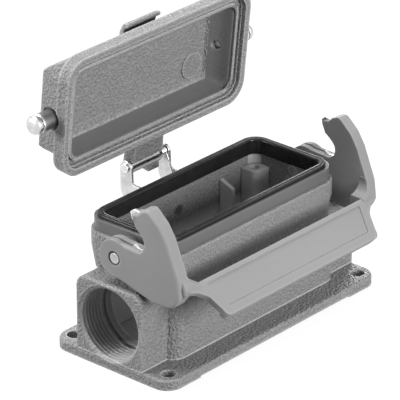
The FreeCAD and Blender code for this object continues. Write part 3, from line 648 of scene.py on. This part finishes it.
HEAD, NECK, STUB, NECK_START = 3.50, 2.84, 1.50, 4.00
PEG_OUTLINE = [
    (0.00, 0.00, 0.00), (0.05, 1.90, 0.60), (0.55, 3.10, 0.50), (1.30, HEAD, 0.50), (2.60, HEAD, 0.14),
    (2.62, NECK, 0.05), (3.18, NECK, 0.05), (3.20, HEAD, 0.14), (NECK_START, HEAD, 0.14),
    (NECK_START + 0.02, NECK, 0.05),
]


def turned(outline, tip, way, around=72):
    """Sweeps outline points (distance, radius) round a line along X: x = tip + way * distance,
    y = radius * cos a, z = radius * sin a, about the tip."""
    a = np.linspace(0, 2 * math.pi, around, endpoint=False)[None]
    distance, radius = outline[:, :1], outline[:, 1:]
    x = np.broadcast_to(tip[0] + way * distance, (len(outline), around))
    return np.stack([x, tip[1] + radius * np.cos(a), tip[2] + radius * np.sin(a)], -1)


for side, way in (("left", 1), ("right", -1)):
    node = "locking_peg_" + side
    low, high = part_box(node)
    tip = (low.x if way > 0 else high.x, (low.y + high.y) / 2, (low.z + high.z) / 2)
    length = (high.x - low.x) / MM
    outline = soft_section(PEG_OUTLINE + [(length, STUB, 0.20), (length, 0.00, 0.00)])
    points = turned(outline, [v / MM for v in tip], way)
    skin("turned_peg_" + side, points, bright_steel, "cover", node)
    print("the", side, "peg is", round(length, 2), "mm long")


# %% [markdown]
# ## A white floor that keeps the shadow
#
# A plain pale floor lit by the lamps would either stay grey or need so much light that the object
# burns out. Light Path tells what kind of ray is looking: the camera, and the rays reflected in metal,
# see a floor that glows a little, while the light that falls on the object comes only from the lamps.
# The shadow under the object stays, because the glow is only added to what the lamps give.

# %% Floor

FLOOR_HALF, FLOOR_DROP = 3.0, 0.2 * MM


def seen_by_eye_or_gloss(finish):
    """1 for rays from the camera and for reflected or refracted rays, 0 for scattered light."""
    camera = finish.node("ShaderNodeLightPath", {}, {}, "Is Camera Ray")
    gloss = finish.node("ShaderNodeLightPath", {}, {}, "Is Glossy Ray")
    through = finish.node("ShaderNodeLightPath", {}, {}, "Is Transmission Ray")
    return camera + gloss * (1 - camera) + through * (1 - camera)


floor_mesh = bpy.data.meshes.new("floor")
corners = np.array([(-1, -1, 0), (1, -1, 0), (1, 1, 0), (-1, 1, 0)]) * FLOOR_HALF - [0, 0, FLOOR_DROP]
floor_mesh.from_pydata(corners.tolist(), [], [(0, 1, 2, 3)])
floor = bpy.data.objects.new("floor", floor_mesh)
bpy.context.scene.collection.objects.link(floor)
floor_paint, paint = new_finish("floor_paint")
glow = paint.mix(grey(0.0), grey(0.92), seen_by_eye_or_gloss(paint))
paint.close({"Base Color": grey(0.13), "Roughness": 0.9, "Specular IOR Level": 0.0,
             "Emission Color": glow, "Emission Strength": 1.0})
floor_mesh.materials.append(floor_paint)
print("floor", 2 * FLOOR_HALF, "m wide, just under the mounting face")


# %% [markdown]
# ## Four lamps
#
# A lamp behind the left end rakes along the castings and shows their texture. A large one overhead and
# a little behind lights the tops and shades the front of the flange. A broad one in front fills the
# lever and the front wall. A weak, low one behind the right end draws thin bright lines on edges and on
# the lip of the seal. Powers could be tried out one by one, but an area lamp of P watts gives
# P / (pi^2 d^2) of a white card at d metres, so each is worked out from the brightness it should give.

# %% Lamps

AIM = Vector((0.0, 0.0, 0.05))


def soft_lamp(name, way, distance, size, brightness):
    """A square lamp of this size, turned to the object, that lights a white card facing it to
    brightness: power = pi squared * distance squared * brightness."""
    data = bpy.data.lights.new(name, "AREA")
    data.shape, data.size = "SQUARE", size
    data.energy = math.pi ** 2 * distance ** 2 * brightness
    lamp = bpy.data.objects.new(name, data)
    lamp.location = AIM + Vector(way).normalized() * distance
    lamp.rotation_euler = (AIM - lamp.location).to_track_quat("-Z", "Y").to_euler()
    bpy.context.scene.collection.objects.link(lamp)
    print(name, "gives", round(data.energy, 1), "W")


soft_lamp("rake_lamp", (-1.0, 0.75, 0.4), 0.8, 0.30, 0.76)
soft_lamp("top_lamp", (-0.1, 0.42, 1.0), 0.9, 0.45, 0.95)
soft_lamp("front_lamp", (0.0, -1.0, 0.28), 1.0, 0.45, 1.05)
soft_lamp("edge_lamp", (0.85, 0.55, 0.10), 0.9, 0.35, 0.28)


# %% [markdown]
# ## A sky that is white to look at
#
# The photograph's background is white, and the metal reflects it. A sky of full strength would light
# the object from all sides and flatten it, so the sky is white only to the camera and to reflections,
# as the floor is, and gives the object a tenth of that.

# %% Sky

SKY_LIGHT = 0.10
world = bpy.data.worlds.new("studio")
bpy.context.scene.world = world
world.use_nodes = True
sky = Finish(world.node_tree)
strength = SKY_LIGHT + seen_by_eye_or_gloss(sky) * (1 - SKY_LIGHT)
light = sky.node("ShaderNodeBackground", {}, {"Color": grey(1.0), "Strength": strength})
sky.node("ShaderNodeOutputWorld", {}, {"Surface": light})
print("the sky gives", SKY_LIGHT, "of white")


# %% [markdown]
# ## The camera
#
# The photograph looks down on the entry end from the left, from far away with a long lens, so that
# parallel edges stay almost parallel. The camera stands 1.3 m off on that line of sight. The lens could
# be shifted to set the object's place in the picture, but turning the sight a little does the same and
# holds from every side. Lengths in the picture are pixels of a 400 pixel frame.

# %% Camera and colour

AZIMUTH, ELEVATION, DISTANCE = math.radians(-49.12), math.radians(27.26), 1.313
PICTURE, FOCAL, ENLARGE = 400, 3525.0, 1.02
ASIDE, UPWARD, LOWER = -20.2 / 1.12, 116.7, 2.5 * MM
SENSOR = 36.0

back = Vector((math.sin(AZIMUTH) * math.cos(ELEVATION), -math.cos(AZIMUTH) * math.cos(ELEVATION),
               math.sin(ELEVATION)))
right = Vector((math.cos(AZIMUTH), math.sin(AZIMUTH), 0))
up = back.cross(right)
sight = (right * (ASIDE / FOCAL) + up * (UPWARD / FOCAL) - back).normalized()
across = sight.cross(Vector((0, 0, 1))).normalized()
turn = Matrix((across, across.cross(sight), -sight)).transposed()

data = bpy.data.cameras.new("camera")
data.sensor_width, data.lens, data.clip_start = SENSOR, SENSOR * FOCAL * ENLARGE / PICTURE, 0.01
camera = bpy.data.objects.new("camera", data)
camera.matrix_world = Matrix.Translation(back * DISTANCE - Vector((0, 0, LOWER))) @ turn.to_4x4()
bpy.context.scene.collection.objects.link(camera)
bpy.context.scene.camera = camera
bpy.context.scene.view_settings.view_transform = "Standard"
print("lens", round(data.lens), "mm")
